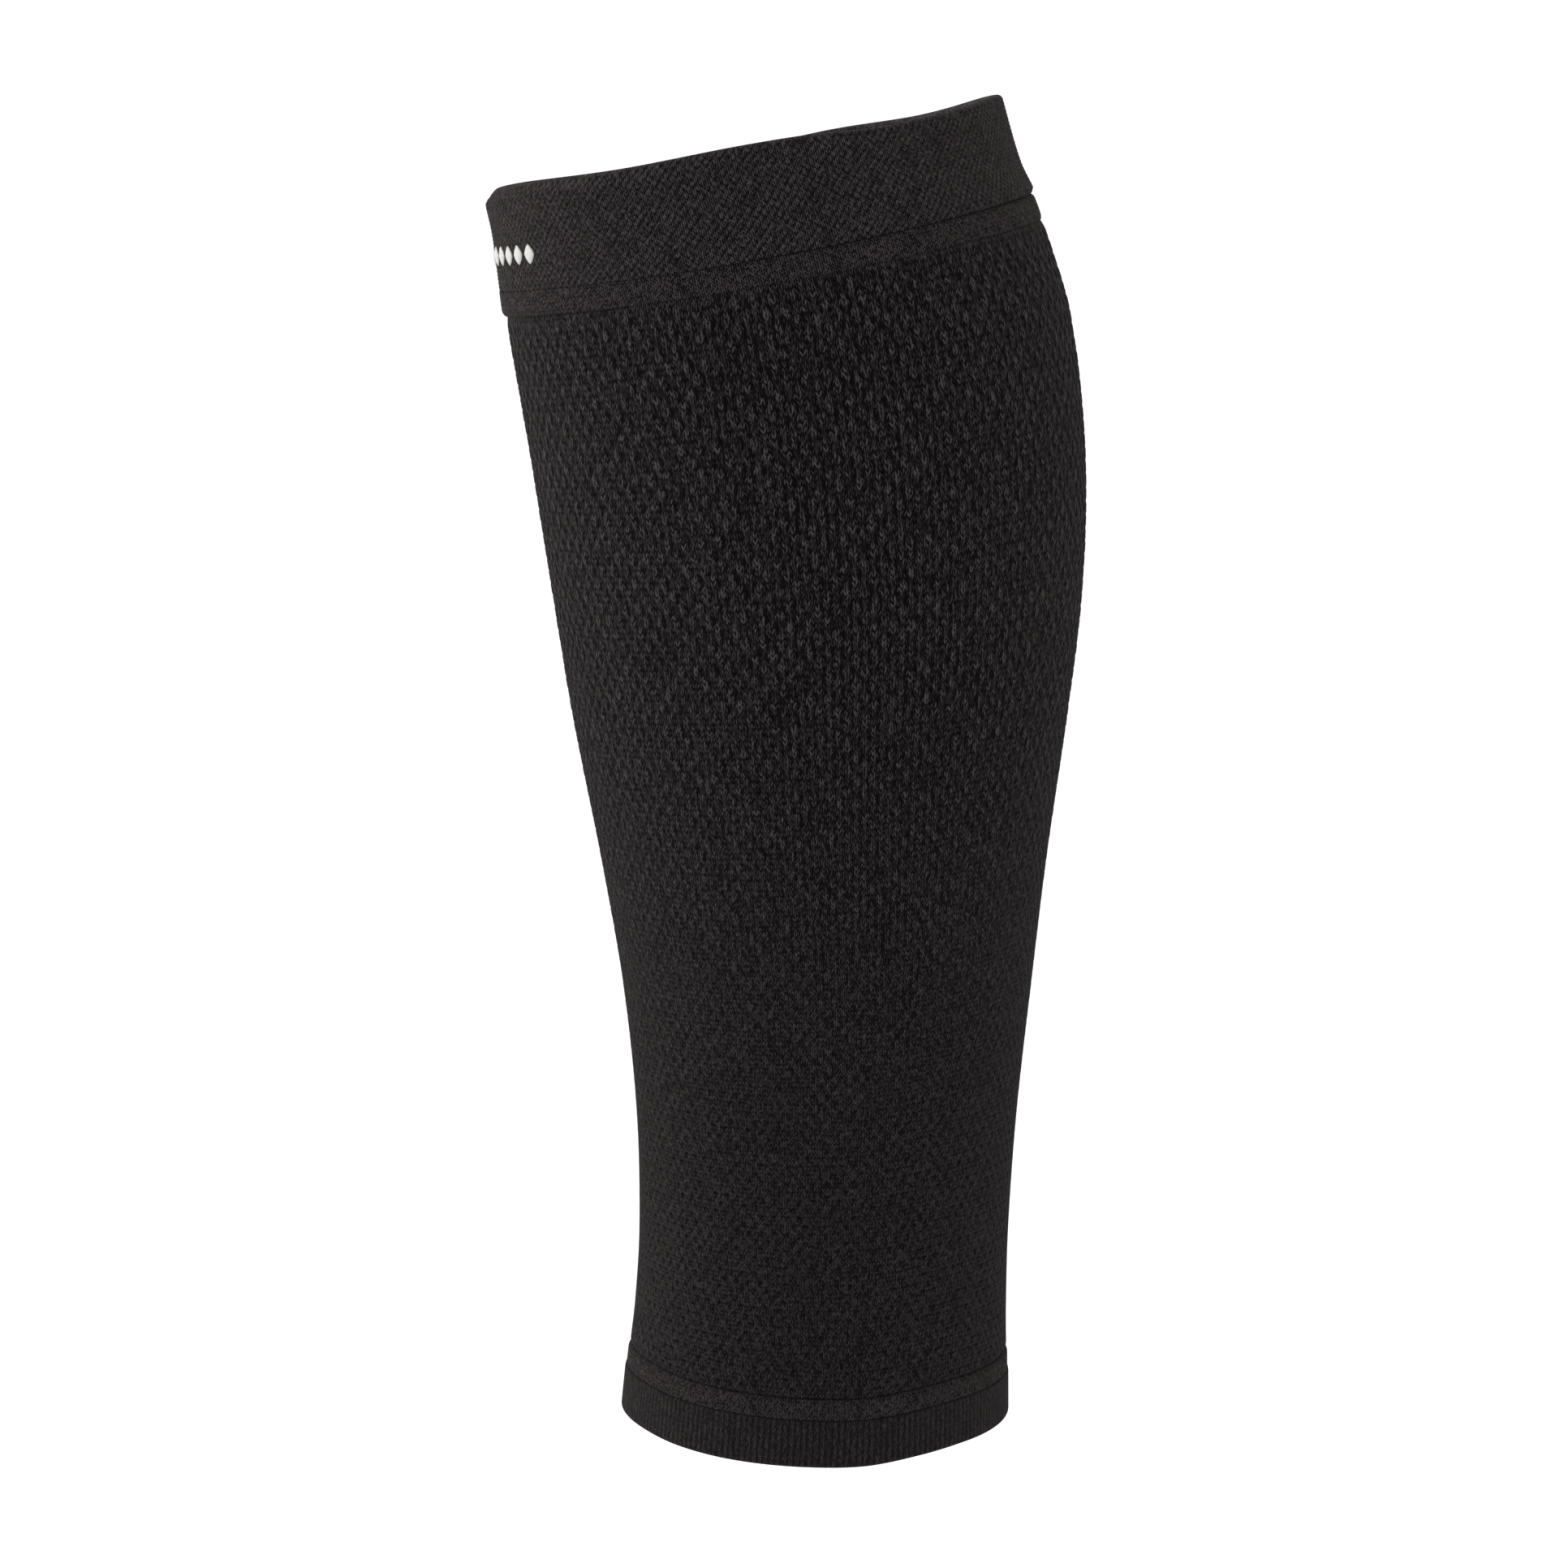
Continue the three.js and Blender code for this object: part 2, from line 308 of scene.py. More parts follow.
def blister_field(across, up, strength):
    """The blisters and the pits of the body, at places counted in repeats of the pattern."""
    draw = np.random.default_rng(GAIN_SEED)
    gains = draw.uniform(GAIN_LOW, GAIN_HIGH, GAIN_SHAPE)
    blisters, pits = np.zeros(across.shape), np.zeros(across.shape)
    for half in (0, 1):
        column, row = np.round(across - half / 2), np.round(up - half / 2)
        aside, above = across - half / 2 - column, up - half / 2 - row
        gain = gains[half, row.astype(int) % GAIN_SHAPE[1], column.astype(int) % GAIN_ROUND]
        # Each blister is an oval with a waist, and its upper half sits a little to one side
        lobe = aside + (0.02 + 0.03 * strength) * np.tanh(above / 0.06)
        reach = np.abs(lobe / 0.33) ** 2.2 + np.abs(above / 0.31) ** 2.2
        waist = 1 - 0.15 * np.exp(-((above / 0.055) ** 2))
        blisters = np.maximum(blisters, np.sqrt(np.clip(1 - reach, 0, 1)) * waist * gain)
        # The pits lie between the blisters of a row
        aside = across - (1 - half) / 2
        aside -= np.round(aside)
        pits = np.maximum(pits, np.exp(-((aside / 0.16) ** 2) - (above / 0.14) ** 2))
    return blisters, pits


# Meshes


def grid_normals(points, closed):
    """Smooth normals of rings of points that run round the leg."""
    around = np.roll(points, -1, axis=1) - np.roll(points, 1, axis=1)
    if closed:
        along = np.roll(points, -1, axis=0) - np.roll(points, 1, axis=0)
    else:
        along = np.gradient(points, axis=0)
    out = np.cross(around, along)
    return out / np.maximum(np.linalg.norm(out, axis=-1, keepdims=True), 1e-12)


def knit_tube(name, points, normals, wales, knit_v, relief, furrow, material, sway=0.0):
    """A closed wall from rings of points that run up its outside and down its inside."""
    rings, columns = points.shape[:2]
    ring, column = np.meshgrid(np.arange(rings), np.arange(columns), indexing="ij")
    next_ring, next_column = (ring + 1) % rings, (column + 1) % columns
    # The corners of each face, with how far along and round from its first corner they lie
    corners = [
        (ring, column, 0, 0), (ring, next_column, 0, 1),
        (next_ring, next_column, 1, 1), (next_ring, column, 1, 0)]
    faces = np.stack([r * columns + c for r, c, _, _ in corners], axis=-1).reshape(-1, 4)
    mesh = bpy.data.meshes.new(name)
    mesh.from_pydata(points.reshape(-1, 3) * MM, [], faces)
    mesh.polygons.foreach_set("use_smooth", np.ones(len(faces), bool))
    edge_length = np.linalg.norm(np.roll(points, -1, axis=0) - points, axis=2).mean(axis=1)
    bake_v = np.concatenate([[0], np.cumsum(edge_length)]) / edge_length.sum()
    knit_v = np.concatenate([knit_v, knit_v[:1]])
    sway = np.broadcast_to(sway, (rings, columns))
    for layer, u_scale, v_values, aside in (
        ("OFBake", 1.0, bake_v, 0 * sway),
        ("knit", wales, knit_v, sway),
    ):
        uv = np.stack([
            np.stack([
                (column + over) / columns * u_scale + aside[r, c],
                v_values[ring + on],
            ], axis=-1)
            for r, c, on, over in corners
        ], axis=2)
        mesh.uv_layers.new(name=layer).uv.foreach_set("vector", uv.astype(np.float32).ravel())
    # The relief and the furrows steer the painted light and shade of the knit materials
    for share, values in (("relief", relief), ("furrow", furrow)):
        values = np.broadcast_to(values, (rings, columns)).astype(np.float32).ravel()
        mesh.attributes.new(share, "FLOAT", "POINT").data.foreach_set("value", values)
    mesh.normals_split_custom_set_from_vertices(normals.reshape(-1, 3))
    mesh.materials.append(material)
    piece = bpy.data.objects.new(name, mesh)
    bpy.context.scene.collection.objects.link(piece)
    return piece


def settle(piece, node):
    """Puts a knitted piece on the frame in place of its CAD node."""
    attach(piece, "root")
    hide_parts(node)


# Colours and materials


def linear(hex_colour):
    """An sRGB hex colour as the linear values that Blender works in."""
    channels = [int(hex_colour[i:i + 2], 16) / 255 for i in (0, 2, 4)]
    return [c / 12.92 if c <= 0.04045 else ((c + 0.055) / 1.055) ** 2.4 for c in channels]


def add_node(tree, kind, inputs=None, **settings):
    """Adds a node with its settings, and its inputs as values or as sockets to link."""
    node = tree.nodes.new(kind)
    for name, value in settings.items():
        setattr(node, name, value)
    for key, value in (inputs or {}).items():
        if isinstance(value, bpy.types.NodeSocket):
            tree.links.new(value, node.inputs[key])
        else:
            node.inputs[key].default_value = value
    return node


def knitted_nylon(name, low, middle, high, relief_share, stitch_share, glint_share, fuzz_share):
    """Black nylon and elastane yarn, knitted: matt, a little fuzzy, with painted shade between
    stitches.

    The three colours are painted light and shade: the gaps in shade, the shaded yarn and the lit
    yarn. Each share says how much one feature of the knit does to lift the colour from the first
    to the last.
    """
    material = bpy.data.materials.new(name)
    material.use_nodes = True
    tree = material.node_tree
    tree.nodes.clear()
    # Places on the knit, counted in wales and in courses
    place = add_node(tree, "ShaderNodeUVMap", uv_map="knit")
    wale = add_node(tree, "ShaderNodeSeparateXYZ", {0: place.outputs["UV"]})
    # Each stitch is a V of yarn: its two legs slant up from the middle of the wale, with painted
    # shade between them
    aside = add_node(tree, "ShaderNodeMath", {0: wale.outputs["X"], 1: 0.5}, operation="PINGPONG")
    slanted = add_node(tree, "ShaderNodeMath", {
        0: aside.outputs[0], 1: -STITCH_SLANT, 2: wale.outputs["Y"]}, operation="MULTIPLY_ADD")
    course_angle = add_node(tree, "ShaderNodeMath", {
        0: slanted.outputs[0], 1: 2 * math.pi}, operation="MULTIPLY")
    course = add_node(tree, "ShaderNodeMath", {0: course_angle.outputs[0]}, operation="SINE")
    leg_angle = add_node(tree, "ShaderNodeMath", {
        0: aside.outputs[0], 1: 2 * math.pi}, operation="MULTIPLY")
    leg = add_node(tree, "ShaderNodeMath", {0: leg_angle.outputs[0]}, operation="SINE")
    stitch = add_node(tree, "ShaderNodeMath", {
        0: course.outputs[0], 1: COURSE_WEIGHT, 2: leg.outputs[0]}, operation="MULTIPLY_ADD")
    # Painted glints: every leg of yarn is twisted its own way, so a few are painted as if they
    # catch the light and most aren't
    leg_place = add_node(tree, "ShaderNodeCombineXYZ", {
        0: wale.outputs["X"], 1: slanted.outputs[0]})
    legs = add_node(tree, "ShaderNodeTexVoronoi", {
        "Vector": leg_place.outputs[0], "Scale": 2.0, "Randomness": 0.85}, voronoi_dimensions="2D")
    chance = add_node(tree, "ShaderNodeSeparateColor", {0: legs.outputs["Color"]})
    bright = add_node(tree, "ShaderNodeMath", {0: chance.outputs[0], 1: 1.2}, operation="POWER")
    round_off = add_node(tree, "ShaderNodeMath", {
        0: legs.outputs["Distance"], 1: -1.3, 2: 1.0}, operation="MULTIPLY_ADD")
    glint = add_node(tree, "ShaderNodeMath", {
        0: bright.outputs[0], 1: round_off.outputs[0]}, operation="MULTIPLY")
    # A furrow runs up every second wale, where the yarn sinks between the raised wales; it is
    # painted darker as painted shade, and sunk by the bump
    pair_angle = add_node(tree, "ShaderNodeMath", {
        0: wale.outputs["X"], 1: math.pi / 2}, operation="MULTIPLY")
    pair = add_node(tree, "ShaderNodeMath", {0: pair_angle.outputs[0]}, operation="COSINE")
    pair_high = add_node(tree, "ShaderNodeMath", {0: pair.outputs[0]}, operation="ABSOLUTE")
    bank = add_node(tree, "ShaderNodeMath", {0: pair_high.outputs[0], 1: 0.25}, operation="POWER")
    gap = add_node(tree, "ShaderNodeMath", {0: 1.0, 1: bank.outputs[0]}, operation="SUBTRACT")
    furrow = add_node(tree, "ShaderNodeAttribute", attribute_name="furrow")
    dip = add_node(tree, "ShaderNodeMath", {
        0: gap.outputs[0], 1: furrow.outputs["Fac"]}, operation="MULTIPLY")
    # Loose filaments
    spot = add_node(tree, "ShaderNodeTexCoord")
    fuzz = add_node(tree, "ShaderNodeTexNoise", {
        "Vector": spot.outputs["Object"], "Scale": 1 / (FILAMENT_SIZE * MM),
        "Detail": 3.0, "Roughness": 0.75})
    # The painted light and shade of the yarn: the relief painted lighter where it stands out and
    # darker in hollows, painted shade between the stitches' legs, painted glints on what stands
    # proud, the filaments, and painted shade in the furrows
    relief = add_node(tree, "ShaderNodeAttribute", attribute_name="relief")
    lit = add_node(tree, "ShaderNodeMath", {
        0: relief.outputs["Fac"], 1: relief_share}, operation="MULTIPLY")
    lit = add_node(tree, "ShaderNodeMath", {
        0: stitch.outputs[0], 1: stitch_share, 2: lit.outputs[0]}, operation="MULTIPLY_ADD")
    proud = add_node(tree, "ShaderNodeMath", {
        0: relief.outputs["Fac"], 1: 0.4, 2: 0.65}, operation="MULTIPLY_ADD")
    shown = add_node(tree, "ShaderNodeMath", {
        0: glint.outputs[0], 1: proud.outputs[0]}, operation="MULTIPLY")
    lit = add_node(tree, "ShaderNodeMath", {
        0: shown.outputs[0], 1: glint_share, 2: lit.outputs[0]}, operation="MULTIPLY_ADD")
    lit = add_node(tree, "ShaderNodeMath", {
        0: fuzz.outputs["Fac"], 1: fuzz_share, 2: lit.outputs[0]}, operation="MULTIPLY_ADD")
    lit = add_node(tree, "ShaderNodeMath", {
        0: dip.outputs[0], 1: -0.6, 2: lit.outputs[0]}, operation="MULTIPLY_ADD")
    shade = add_node(tree, "ShaderNodeValToRGB", {"Fac": lit.outputs[0]})
    ramp = shade.color_ramp
    ramp.elements[0].position, ramp.elements[0].color = 0.1, (*linear(low), 1)
    ramp.elements[1].position, ramp.elements[1].color = 1.0, (*linear(high), 1)
    ramp.elements.new(0.5).color = (*linear(middle), 1)
    height = add_node(tree, "ShaderNodeMath", {
        0: glint.outputs[0], 1: 1.2, 2: stitch.outputs[0]}, operation="MULTIPLY_ADD")
    height = add_node(tree, "ShaderNodeMath", {
        0: fuzz.outputs["Fac"], 1: 1.0, 2: height.outputs[0]}, operation="MULTIPLY_ADD")
    height = add_node(tree, "ShaderNodeMath", {
        0: dip.outputs[0], 1: -1.5, 2: height.outputs[0]}, operation="MULTIPLY_ADD")
    bump = add_node(tree, "ShaderNodeBump", {
        "Strength": 1.0, "Distance": STITCH_DEPTH * MM, "Height": height.outputs[0]})
    cloth = add_node(tree, "ShaderNodeBsdfPrincipled", {
        "Base Color": shade.outputs["Color"], "Roughness": 0.95, "IOR": 1.53,
        "Specular IOR Level": 0.04, "Sheen Weight": 0.035, "Sheen Roughness": 0.4,
        "Sheen Tint": (*linear("c9b9b4"), 1), "Normal": bump.outputs["Normal"]})
    add_node(tree, "ShaderNodeOutputMaterial", {"Surface": cloth.outputs["BSDF"]})
    return material


def shared_material(name, make):
    return bpy.data.materials.get(name) or make(name)


def plain_knit(name):
    # Nylon and elastane in plain knit: V stitches of one size give a fine, even, matt grain, with
    # painted glints and painted shade between the legs
    return knitted_nylon(
        name, low="020202", middle="0a0809", high="3d3839",
        relief_share=0.06, stitch_share=0.32, glint_share=1.1, fuzz_share=0.4)


def blister_knit(name):
    # Nylon and elastane in blister knit: raised ovals over a ground, with painted glints on the
    # ovals and painted shade on the ground and in the furrows, beside the mesh's own relief
    return knitted_nylon(
        name, low="020202", middle="0c0a0b", high="443f40",
        relief_share=0.08, stitch_share=0.22, glint_share=0.8, fuzz_share=0.46)


def tuck_knit(name):
    # Nylon and elastane in tuck knit: held loops give tight diagonals with small dark gaps, dips
    # in the mesh that the colour darkens further with painted shade
    return knitted_nylon(
        name, low="020202", middle="0e0b0c", high="4a4546",
        relief_share=0.32, stitch_share=0.18, glint_share=0.64, fuzz_share=0.38)


def rib_knit(name):
    # Nylon and elastane in rib knit: upright ribs with furrows between them, in the mesh and in
    # the colour, which paints the ribs lighter and the furrows darker as painted light and shade
    return knitted_nylon(
        name, low="020202", middle="151213", high="4d4849",
        relief_share=0.19, stitch_share=0.1, glint_share=0.36, fuzz_share=0.51)


def embroidery_thread(name):
    # White polyester thread in satin stitch: threads side by side, softly glossy, with fine
    # painted shadows between the strands as well as their bump
    material = bpy.data.materials.new(name)
    material.use_nodes = True
    tree = material.node_tree
    tree.nodes.clear()
    place = add_node(tree, "ShaderNodeUVMap", uv_map="knit")
    threads = add_node(tree, "ShaderNodeTexWave", {
        "Vector": place.outputs["UV"], "Scale": 1.0, "Distortion": 1.5, "Detail": 1.0},
        bands_direction="X")
    shade = add_node(tree, "ShaderNodeValToRGB", {"Fac": threads.outputs["Fac"]})
    shade.color_ramp.elements[0].color = (*linear("8f8d8a"), 1)
    shade.color_ramp.elements[1].color = (*linear("efeeea"), 1)
    bump = add_node(tree, "ShaderNodeBump", {
        "Distance": THREAD_DEPTH * MM, "Height": threads.outputs["Fac"]})
    thread = add_node(tree, "ShaderNodeBsdfPrincipled", {
        "Base Color": shade.outputs["Color"], "Roughness": 0.55, "IOR": 1.57,
        "Normal": bump.outputs["Normal"]})
    add_node(tree, "ShaderNodeOutputMaterial", {"Surface": thread.outputs["BSDF"]})
    return material


def studio_paper(name):
    # Matt white paper: even and pale, with the faintest mottle
    material = bpy.data.materials.new(name)
    material.use_nodes = True
    tree = material.node_tree
    tree.nodes.clear()
    spot = add_node(tree, "ShaderNodeTexCoord")
    mottle = add_node(tree, "ShaderNodeTexNoise", {"Vector": spot.outputs["Object"], "Scale": 40.0})
    shade = add_node(tree, "ShaderNodeMix", {
        "Factor": mottle.outputs["Fac"], "A": (0.95, 0.95, 0.95, 1), "B": (0.96, 0.96, 0.96, 1)},
        data_type="RGBA")
    paper = add_node(tree, "ShaderNodeBsdfPrincipled", {
        "Base Color": shade.outputs["Result"], "Roughness": 0.9, "Specular IOR Level": 0.2})
    add_node(tree, "ShaderNodeOutputMaterial", {"Surface": paper.outputs["BSDF"]})
    return material


# What a user would change


class SleeveSettings(bpy.types.PropertyGroup):
    blisters_round: bpy.props.IntProperty(
        name="Blisters round", description="Blisters in one row round the leg",
        default=92, min=40, max=128)
    blisters_high: bpy.props.IntProperty(
        name="Blisters high", description="Rows of blisters from the ankle to the knee",
        default=52, min=16, max=64)
    blister_height: bpy.props.FloatProperty(
        name="Blister height", description="How far a blister stands out at the calf",
        default=0.34 * MM, min=0, max=2 * MM, unit="LENGTH", precision=5)
    pit_depth: bpy.props.FloatProperty(
        name="Pit depth", description="How deep the ground sinks near the ankle",
        default=0.35 * MM, min=0, max=MM, unit="LENGTH", precision=5)
    tucks_round: bpy.props.IntProperty(
        name="Tucks round", description="Repeats of the tuck knit round the upper cuff",
        default=185, min=80, max=240)
    tuck_height: bpy.props.FloatProperty(
        name="Tuck height", description="Relief of the tuck knit",
        default=0.16 * MM, min=0, max=MM, unit="LENGTH", precision=5)
    lozenges: bpy.props.IntProperty(
        name="Lozenges", description="Embroidered lozenges on the front of the cuff",
        default=13, min=1, max=20)
    lozenge_height: bpy.props.FloatProperty(
        name="Lozenge height", description="Height of one embroidered lozenge",
        default=4.2 * MM, min=MM, max=8 * MM, unit="LENGTH", precision=4)
    ribs_round: bpy.props.IntProperty(
        name="Ribs round", description="Ribs round the ankle cuff",
        default=200, min=80, max=240)
    rib_height: bpy.props.FloatProperty(
        name="Rib height", description="Relief of the ribs",
        default=0.07 * MM, min=0, max=MM, unit="LENGTH", precision=5)


class StudioSettings(bpy.types.PropertyGroup):
    backdrop: bpy.props.FloatVectorProperty(
        name="Backdrop", description="Colour of the light from all round",
        subtype="COLOR", size=3, default=(1, 1, 1), min=0, max=1)
    soft_light: bpy.props.FloatProperty(
        name="Soft light", description="Strength of the light from all round",
        default=1.12, min=0, max=4)
    key_light: bpy.props.FloatProperty(
        name="Key light", description="Power of the lamp at the shin",
        default=18.0, min=0, unit="POWER")
    floor_drop: bpy.props.FloatProperty(
        name="Floor drop", description="How far the floor lies below the ankle edge",
        default=0.35, min=0, unit="LENGTH")


# The pieces


class OBJECT_OT_sleeve_stage(bpy.types.Operator):
    """Makes the plain floor, the soft light and the camera"""

    bl_idname = "object.sleeve_stage"
    bl_label = "Stage"

    def execute(self, context):
        studio = context.scene.sleeve_studio
        scene = context.scene
        scene.view_settings.view_transform = "Standard"
        world = bpy.data.worlds.new("studio_light")
        scene.world = world
        world.use_nodes = True
        world.node_tree.nodes["Background"].inputs["Color"].default_value = (*studio.backdrop, 1)
        world.node_tree.nodes["Background"].inputs["Strength"].default_value = studio.soft_light

        floor_mesh = bpy.data.meshes.new("floor")
        half, low = FLOOR_HALF, cad_low.z - studio.floor_drop
        floor_corners = [
            (-half, -half, low), (half, -half, low), (half, half, low), (-half, half, low)]
        floor_mesh.from_pydata(floor_corners, [], [(0, 1, 2, 3)])
        floor_mesh.materials.append(shared_material("matt_white_paper", studio_paper))
        floor = bpy.data.objects.new("floor", floor_mesh)
        scene.collection.objects.link(floor)

        for name, place, share in LAMPS:
            lamp = bpy.data.lights.new(name, "AREA")
            lamp.size, lamp.energy = LAMP_SIZE, studio.key_light * share
            holder = bpy.data.objects.new(name, lamp)
            holder.location = place
            sight = Vector(LAMP_AIM) - Vector(place)
            holder.rotation_euler = sight.to_track_quat("-Z", "Y").to_euler()
            scene.collection.objects.link(holder)

        camera = bpy.data.objects.new("camera", bpy.data.cameras.new("camera"))
        camera.data.sensor_width, camera.data.lens = CAMERA_SENSOR, CAMERA_LENS
        camera.location = CAMERA_PLACE
        sight = Vector(CAMERA_AIM) - camera.location
        camera.rotation_euler = sight.to_track_quat("-Z", "Y").to_euler()
        scene.collection.objects.link(camera)
        scene.camera = camera
        return {"FINISHED"}


class OBJECT_OT_sleeve_body(bpy.types.Operator):
    """Knits the blister body between the two join bands"""

    bl_idname = "object.sleeve_body"
    bl_label = "Body"

    def execute(self, context):
        knit = context.scene.sleeve
        columns = knit.blisters_round * COLUMNS_PER_BLISTER
        turn = turns_of(columns)[None, :]
        low, high = lower_join_line(turn) + HAIR_GAP / 2, upper_join_line(turn) - HAIR_GAP / 2
        # Stitches are wider and taller where the leg stretches them, so the rows follow its girth
        share = np.linspace(0, 1, GIRTH_SAMPLES)
        heights = low.mean() + share * (high.mean() - low.mean())
        loop = wall_point(turns_of(GIRTH_TURNS)[None, :], heights[:, None], BODY_WALL)
        girth = np.linalg.norm(np.roll(loop, -1, axis=1) - loop, axis=2).sum(axis=1)
        counted = np.concatenate([[0], np.cumsum(2 / (girth[1:] + girth[:-1]))])
        counted *= knit.blisters_high / counted[-1]
        rows = np.arange(knit.blisters_high * ROWS_PER_BLISTER + 1) / ROWS_PER_BLISTER
        extra = np.array([0.02, 0.06])  # two more rows in the crease at each end
        rows = np.unique(np.concatenate([rows, extra, knit.blisters_high - extra]))[:, None]
        height = low + np.interp(rows, counted, share) * (high - low)
        across = turn / (2 * math.pi) * knit.blisters_round

        strength = smooth_step((height - BLISTERS_FROM) / BLISTERS_REACH)
        blisters, pits = blister_field(across, np.broadcast_to(rows, height.shape), strength)
        from_low, from_high = height - low, high - height
        # The pattern fades out at both ends, and at the top in two steps
        fade_high = 0.5 * smooth_step(from_high / 1.5) + 0.5 * smooth_step(from_high / 5)
        fade = smooth_step(from_low / 1.0) * fade_high
        pitted = 1 - smooth_step((height - PITS_UNTIL) / PITS_REACH)
        raised = knit.blister_height / MM * strength * blisters * fade
        sunk = knit.pit_depth / MM * pitted * pits * fade
        back = (1 - np.cos(turn)) / 2
        out = BODY_WALL + raised - sunk
        out -= crease(from_low, 0.8, 1.3) + crease(from_high, 0.12 + 0.2 * back, 2.2)
        # Painted light and shade: blister tops are painted lighter and the pits darker
        relief = GROUND_RELIEF + 0.55 * blisters * strength * fade - 0.8 * pits * pitted * fade
        # The wales bend round the blisters on both sides of them
        sway = -WALE_SWAY * strength * fade
        sway = sway * np.cos(2 * math.pi * rows) * np.sin(2 * math.pi * across)
        outer = wall_point(turn, height, out)
        normals = grid_normals(outer, closed=False)

        material = shared_material("nylon_blister_knit", blister_knit)
        bounds = np.round(np.linspace(0, knit.blisters_high, len(BODY_PIECES) + 1))
        for name, start, end in zip(BODY_PIECES, bounds[:-1], bounds[1:]):
            first, last = (int(np.searchsorted(rows[:, 0], place)) for place in (start, end))
            lining = np.round(np.linspace(last, first, LINING_ROWS)).astype(int)
            inner = wall_point(turn, height[lining], 0.0)
            ring = np.concatenate([outer[first:last + 1], inner])
            facing = np.concatenate([normals[first:last + 1], -skin_normal(turn, height[lining])])
            courses = np.concatenate([rows[first:last + 1, 0], rows[lining, 0]])
            courses = courses * COURSES_PER_BLISTER
            # Painted light and shade of the outside, with the lining at the ground's painted shade
            painted_relief = np.full(inner.shape[:2], GROUND_RELIEF)
            painted_relief = np.concatenate([relief[first:last + 1], painted_relief])
            furrow = (strength * fade)[first:last + 1]
            furrow = np.concatenate([furrow, np.full(inner.shape[:2], LINING_FURROW)])
            swayed = np.concatenate([sway[first:last + 1], np.zeros(inner.shape[:2])])
            wales = knit.blisters_round * WALES_PER_BLISTER
            piece = knit_tube(name, ring, facing, wales, courses, painted_relief, furrow, material, swayed)
            settle(piece, "calf_body")
        return {"FINISHED"}


class OBJECT_OT_sleeve_upper_cuff(bpy.types.Operator):
    """Knits the turned welt under the knee"""

    bl_idname = "object.sleeve_upper_cuff"
    bl_label = "Upper cuff"

    def execute(self, context):
        knit = context.scene.sleeve
        columns = knit.tucks_round * COLUMNS_PER_TUCK
        turn = turns_of(columns)[None, :]
        low, high = cuff_line(turn) + HAIR_GAP / 2, top_edge(turn)
        radius = EDGE_ROUNDNESS * UPPER_CUFF_WALL
        tucks_high = round(UPPER_CUFF_HEIGHT / TUCK_PITCH)
        rows = np.arange(tucks_high * ROWS_PER_TUCK + 1) / (tucks_high * ROWS_PER_TUCK)
        extra = [0.005, 0.012]  # two more rows in the crease
        rows = np.unique(np.concatenate([rows, extra]))[:, None]
        flat_height = low + rows * (high - radius - low)
        arc = np.linspace(0, math.pi, TOP_ROLL_ROWS)[1:-1, None]
        lining = np.linspace(1, 0, LINING_ROWS)[:, None]
        height = np.concatenate([
            flat_height, high - radius + radius * np.sin(arc) + 0 * turn,
            low + lining * (high - radius - low)])
        middle_out = UPPER_CUFF_WALL / 2
        out = np.concatenate([
            np.full(flat_height.shape, UPPER_CUFF_WALL),
            middle_out + middle_out * np.cos(arc) + 0 * turn, np.zeros((LINING_ROWS, columns))])
        # Up the outside from 0 to 1, over the rolled edge, and down the inside
        along = np.concatenate([
            rows, 1 + arc / math.pi * TOP_ROLLED_SHARE, 2 + TOP_ROLLED_SHARE - lining])
        up = along * tucks_high
        across = turn / (2 * math.pi) * knit.tucks_round
        # Small gaps and lumps of yarn take turns, in every row and in every column, and fade out
        # over the rolled edge
        field = 0.5 + 0.5 * np.cos(2 * math.pi * across) * np.cos(2 * math.pi * up)
        outside = smooth_step((1.1 - along) / 0.1)
        back = (1 - np.cos(turn)) / 2
        sink = crease(height - low, 0.08 + 0.92 * back, 1.1) * (along <= 1)
        out = out - knit.tuck_height / MM * field * outside - sink
        ring = wall_point(turn, height, out)
        normals = grid_normals(ring, closed=True)
        # Painted shade: the gaps of the tuck knit are painted darker
        relief = 0.95 - 0.9 * field * outside
        wales, courses = knit.tucks_round * WALES_PER_TUCK, (up * COURSES_PER_TUCK)[:, 0]
        piece = knit_tube("upper_cuff_welt", ring, normals, wales, courses, relief, 0,
                          shared_material("nylon_tuck_knit", tuck_knit))
        settle(piece, "upper_cuff")
        return {"FINISHED"}


